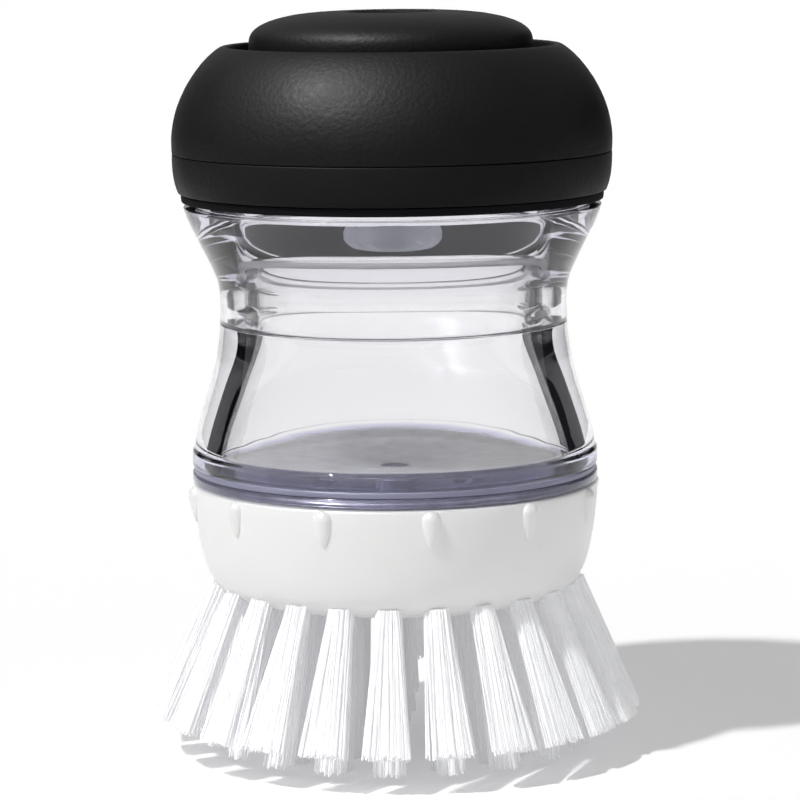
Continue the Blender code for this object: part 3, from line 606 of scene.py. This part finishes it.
def addRibs(bm):
    # raised drops, round above and drawn out to a point below
    for i in range(rib["count"]):
        turn = Matrix.Rotation(math.radians(rib["phase"] + 360 * i / rib["count"]), 4, "Z")
        place = turn @ Matrix.Translation((rib["radius"] * mm, 0, (rib["top"] - rib["width"] / 2) * mm))
        drop = bmesh.ops.create_uvsphere(
            bm, u_segments=rib["segments"], v_segments=rib["rings"], radius=rib["width"] / 2 * mm,
        )["verts"]
        for v in drop:
            if v.co.z < 0:
                share = -v.co.z / (rib["width"] / 2 * mm)
                v.co.z = -share ** rib["draw"] * (rib["length"] - rib["width"] / 2) * mm
                v.co.x *= 1 - rib["thinning"] * share
            v.co.x *= rib["stand"] / (rib["width"] / 2)
        bmesh.ops.transform(bm, matrix=place, verts=drop)


bm = turnProfile(brushHead)
addRibs(bm)
finishPiece("brushHead", bm, whitePlastic, "brush_head", "brush_head", 1)
print("brush head made")


# tufts of bristles

strand = {
    "sides": 5, "rings": 4, "radius": 0.15, "thinnest": 0.85, "thickest": 1.1,
    "shortest": -0.04,  # the most that a strand with a raised tip lacks, as a share
    "bend": 0.3, "sharpFrom": 50,
}
tipPlaces = {
    # how far a tip keeps its root's place in the tuft, and how far it may stray from it
    "acrossKeep": 0.75, "acrossStray": 0.25, "alongKeep": 0.8, "alongStray": 0.2,
}
tuftRings = [
    {
        "name": "outer", "tufts": 24, "slices": 6, "strands": 190, "radius": 25.4, "root": 1.7,
        "spread": 9.3, "along": 3.9, "across": 1.7, "tip": 4.5, "rise": 1.3, "bend": 0.5,
        "limit": 35.2,  # how far out a tip may stand
    },
    {
        "name": "second", "tufts": 20, "slices": 4, "strands": 110, "radius": 21.2, "root": 1.4,
        "spread": 6.1, "along": 2.6, "across": 1.8, "tip": 1.2, "rise": 0.0, "bend": 0.4,
        "limit": 30.0,
    },
    {
        "name": "third", "tufts": 16, "slices": 4, "strands": 60, "radius": 16.1, "root": 1.4,
        "spread": 3.6, "along": 2.3, "across": 1.8, "tip": 0.0, "rise": 0.0, "bend": 0.3,
        "limit": 30.0,
    },
    {
        "name": "inner", "tufts": 12, "slices": 4, "strands": 60, "radius": 10.95, "root": 1.4,
        "spread": 1.2, "along": 1.9, "across": 1.6, "tip": 0.0, "rise": 0.0, "bend": 0.2,
        "limit": 30.0,
    },
]
ringPhase = -92.5
rootHeight = 24.6
chance = random.Random(7)


def nylonMaterial(name, look):
    material, tree, shader = newMaterial(name)
    link = tree.links.new
    place = addNode(tree, "ShaderNodeTexCoord")
    stretch = addNode(tree, "ShaderNodeMapping", {"Scale": (1, 1, look["stretch"])})
    link(place.outputs["Object"], stretch.inputs["Vector"])
    streaks = addNode(tree, "ShaderNodeTexNoise", {"Scale": look["streakScale"], "Detail": 2.0})
    link(stretch.outputs["Vector"], streaks.inputs["Vector"])
    spread = addNode(tree, "ShaderNodeMapRange", spanFrom(look["streakSpan"]))
    link(streaks.outputs["Fac"], spread.inputs["Value"])
    tint = addNode(tree, "ShaderNodeMix", data_type="RGBA")
    tint.inputs["A"].default_value = (*look["dark"], 1)
    tint.inputs["B"].default_value = (*look["light"], 1)
    link(spread.outputs["Result"], tint.inputs["Factor"])
    link(tint.outputs["Result"], shader.inputs["Base Color"])
    addBump(tree, streaks.outputs["Fac"], shader, look["bump"], look["bumpDepth"])
    shader.inputs["Roughness"].default_value = look["roughness"]
    # painted glow: the strands glow in their own light colour, brightening the shade between them
    shader.inputs["Emission Color"].default_value = (*look["light"], 1)
    shader.inputs["Emission Strength"].default_value = look["glow"]
    return material


nylonLook = {
    "dark": (0.86, 0.86, 0.885), "light": (0.95, 0.95, 0.96), "roughness": 0.5,
    "glow": 0.10,  # painted glow: the bristles give off light of their own, which lifts them and the shade between strands
    "streakScale": 1800, "streakSpan": (0.3, 0.7), "stretch": 0.03, "bump": 0.2, "bumpDepth": 0.02,
}
nylon = nylonMaterial("whiteNylon", nylonLook)


def strandMesh():
    # one straight bristle, from its root at 0 down to its cut end at -1
    bm = bmesh.new()
    bmesh.ops.create_cone(
        bm, cap_ends=True, segments=strand["sides"], radius1=1, radius2=1, depth=1,
        matrix=Matrix.Translation((0, 0, -0.5)),
    )
    for i in range(1, strand["rings"]):
        bmesh.ops.bisect_plane(
            bm, geom=bm.verts[:] + bm.edges[:] + bm.faces[:],
            plane_co=(0, 0, -i / strand["rings"]), plane_no=up,
        )
    return newMesh("strand", bm)


def addStrand(bm, pattern, root, tip, bend, radius, twist):
    first = len(bm.verts)
    bm.from_mesh(pattern)
    bm.verts.ensure_lookup_table()
    for v in bm.verts[first:]:
        share = -v.co.z
        side = Vector((v.co.x, v.co.y, 0))
        side.rotate(Matrix.Rotation(twist, 3, "Z"))
        v.co = root.lerp(tip, share) + bend * share * share + side * radius


def stray(reach):
    return chance.uniform(-reach, reach)


def discPlace():
    turn = chance.uniform(0, math.tau)
    reach = math.sqrt(chance.random())
    return reach * math.cos(turn), reach * math.sin(turn)


def addTuft(bm, pattern, ring, angle):
    outward = Vector((math.cos(angle), math.sin(angle), 0))
    beside = Vector((-math.sin(angle), math.cos(angle), 0))
    for _ in range(ring["strands"]):
        x, y = discPlace()
        root = outward * (ring["radius"] + ring["root"] * x) + beside * ring["root"] * y
        root.z = rootHeight
        tipX = x * tipPlaces["acrossKeep"] + stray(tipPlaces["acrossStray"])
        tipY = y * tipPlaces["alongKeep"] + stray(tipPlaces["alongStray"])
        reach = min(ring["radius"] + ring["spread"] + ring["across"] * tipX, ring["limit"])
        tip = outward * reach + beside * ring["along"] * tipY
        tip.z = ring["tip"] + ring["rise"] * (1 + tipX) / 2
        if ring["tip"]:
            tip = root.lerp(tip, 1 + chance.uniform(strand["shortest"], 0.0))
        bend = beside * stray(1) + outward * stray(1)
        bend *= ring["bend"] * strand["bend"]
        radius = strand["radius"] * chance.uniform(strand["thinnest"], strand["thickest"])
        twist = chance.uniform(0, math.tau)
        addStrand(bm, pattern, root * mm, (tip - bend) * mm, bend * mm, radius * mm, twist)


pattern = strandMesh()
for ring in tuftRings:
    perSlice = ring["tufts"] // ring["slices"]
    for n in range(ring["slices"]):
        bm = bmesh.new()
        for k in range(perSlice):
            angle = ringPhase + 360 * (n * perSlice + k) / ring["tufts"]
            addTuft(bm, pattern, ring, math.radians(angle))
        node = f"bristles_{ring['name']}_{n + 1}"
        name = f"{ring['name']}Tufts{n + 1}"
        tufts = finishPiece(name, bm, nylon, "brush_head", node)
        tufts.data.set_sharp_from_angle(angle=math.radians(strand["sharpFrom"]))
bpy.data.meshes.remove(pattern)
print("bristles made")


# finishes of the nodes that show as they are

finishes = {"black_plastic": blackPlastic, "white_plastic": whitePlastic, "silicone": silicone}
slots = {part["node"]: part["material_slot"] for part in frame["record"]["subparts"]}
for name in ("outlet_valve", "valve_retainer", "cap_core", "button_plunger", "head_seal"):
    for slotHolder in frame["nodes"][name].material_slots:
        slotHolder.material = finishes[slots[name]]


# floor, light and camera: sizes and places here are metres

stage = {
    "floorSize": 12.0, "floorColour": (0.95, 0.95, 0.95), "floorRoughness": 0.9, "floorGlow": 0.126,
    "floorGrain": 900.0, "floorBump": 0.05, "floorBumpDepth": 0.02,
    "roomLight": 0.40,  # what reaches surfaces from all round
    "roomGloss": 0.1,  # how much of the backdrop shows in glossy surfaces
    "keyStrength": 2.0, "keyAngle": 3.0, "keyFrom": (-0.56, -0.43, 1.0),
    "sheenStrength": 10.5,  # more of the key, for glossy surfaces only
    "flagColour": (0.01, 0.01, 0.012),
}
flags = [
    # dark cards behind the brush that only glass and gloss can see: ends, foot and head
    {"name": "leftFlag", "from": (-0.357, 0.130), "to": (-0.201, 0.322), "foot": 0.03, "head": 0.24},
    {"name": "rightFlag", "from": (0.178, 0.3355), "to": (0.357, 0.130), "foot": 0.03, "head": 0.24},
]


def addSeenByCamera(tree, glossShare):
    # 1 for rays from the camera or through glass, and a share for those off glossy surfaces
    rays = addNode(tree, "ShaderNodeLightPath")
    gloss = addNode(tree, "ShaderNodeMath", {1: glossShare}, operation="MULTIPLY")
    first = addNode(tree, "ShaderNodeMath", operation="MAXIMUM")
    both = addNode(tree, "ShaderNodeMath", operation="MAXIMUM")
    tree.links.new(rays.outputs["Is Glossy Ray"], gloss.inputs[0])
    tree.links.new(rays.outputs["Is Camera Ray"], first.inputs[0])
    tree.links.new(gloss.outputs["Value"], first.inputs[1])
    tree.links.new(first.outputs["Value"], both.inputs[0])
    tree.links.new(rays.outputs["Is Transmission Ray"], both.inputs[1])
    return both.outputs["Value"]


def floorMaterial():
    material, tree, shader = newMaterial("paleFloor")
    link = tree.links.new
    place = addNode(tree, "ShaderNodeTexCoord")
    fibre = addNode(tree, "ShaderNodeTexNoise", {"Scale": stage["floorGrain"], "Detail": 2.0})
    link(place.outputs["Object"], fibre.inputs["Vector"])
    addBump(tree, fibre.outputs["Fac"], shader, stage["floorBump"], stage["floorBumpDepth"])
    shader.inputs["Base Color"].default_value = (*stage["floorColour"], 1)
    shader.inputs["Roughness"].default_value = stage["floorRoughness"]
    shader.inputs["Specular IOR Level"].default_value = 0.0
    glow = addNode(tree, "ShaderNodeMath", {1: stage["floorGlow"]}, operation="MULTIPLY")
    link(addSeenByCamera(tree, 1.0), glow.inputs[0])
    shader.inputs["Emission Color"].default_value = (1, 1, 1, 1)
    link(glow.outputs["Value"], shader.inputs["Emission Strength"])
    return material


def addStage(name, bm, material):
    mesh = newMesh(name, bm)
    mesh.materials.append(material)
    obj = placeObject(name, mesh)
    return obj


bm = bmesh.new()
bmesh.ops.create_grid(bm, x_segments=1, y_segments=1, size=stage["floorSize"] / 2)
addStage("floor", bm, floorMaterial())

flagBlack, tree, shader = newMaterial("flagBlack")
shader.inputs["Base Color"].default_value = (*stage["flagColour"], 1)
shader.inputs["Roughness"].default_value = 1.0
shader.inputs["Specular IOR Level"].default_value = 0.0
for flag in flags:
    bm = bmesh.new()
    foot = bm.edges.new([bm.verts.new((x, y, flag["foot"])) for x, y in (flag["from"], flag["to"])])
    raised = bmesh.ops.extrude_edge_only(bm, edges=[foot])["geom"]
    bmesh.ops.translate(
        bm, vec=(0, 0, flag["head"] - flag["foot"]),
        verts=[v for v in raised if isinstance(v, bmesh.types.BMVert)],
    )
    card = addStage(flag["name"], bm, flagBlack)
    card.visible_camera = False
    card.visible_diffuse = False
    card.visible_shadow = False

world = bpy.data.worlds.new("studio")
world.use_nodes = True
bpy.context.scene.world = world
tree = world.node_tree
background = tree.nodes["Background"]
strength = addNode(tree, "ShaderNodeMapRange", {"To Min": stage["roomLight"], "To Max": 1.0})
tree.links.new(addSeenByCamera(tree, stage["roomGloss"]), strength.inputs["Value"])
background.inputs["Color"].default_value = (1, 1, 1, 1)
tree.links.new(strength.outputs["Result"], background.inputs["Strength"])


def addLamp(name, energy):
    lamp = bpy.data.lights.new(name, "SUN")
    lamp.energy = energy
    lamp.angle = math.radians(stage["keyAngle"])
    holder = placeObject(name, lamp)
    holder.location = stage["keyFrom"]
    holder.rotation_euler = Vector(stage["keyFrom"]).to_track_quat("Z", "Y").to_euler()
    return holder


addLamp("keyLamp", stage["keyStrength"])
sheenLamp = addLamp("sheenLamp", stage["sheenStrength"])
sheenLamp.visible_diffuse = False
sheenLamp.visible_transmission = False


view = {
    "distance": 0.536, "height": 0.1259, "pitch": -8.03, "roll": -0.6, "lens": 168.56,
    "sensorWidth": 36, "shiftX": 0.0069, "clip": (0.01, 20),
}
camera = bpy.data.cameras.new("camera")
camera.lens = view["lens"]
camera.sensor_width = view["sensorWidth"]
camera.shift_x = view["shiftX"]
camera.clip_start, camera.clip_end = view["clip"]
cameraHolder = placeObject("camera", camera)
pitch = Matrix.Rotation(math.radians(90 + view["pitch"]), 4, "X")
roll = Matrix.Rotation(math.radians(view["roll"]), 4, "Z")
place = Matrix.Translation((0, -view["distance"], view["height"]))
cameraHolder.matrix_world = place @ (pitch @ roll)
bpy.context.scene.camera = cameraHolder

bpy.context.scene.view_settings.view_transform = "Standard"
print("stage made")
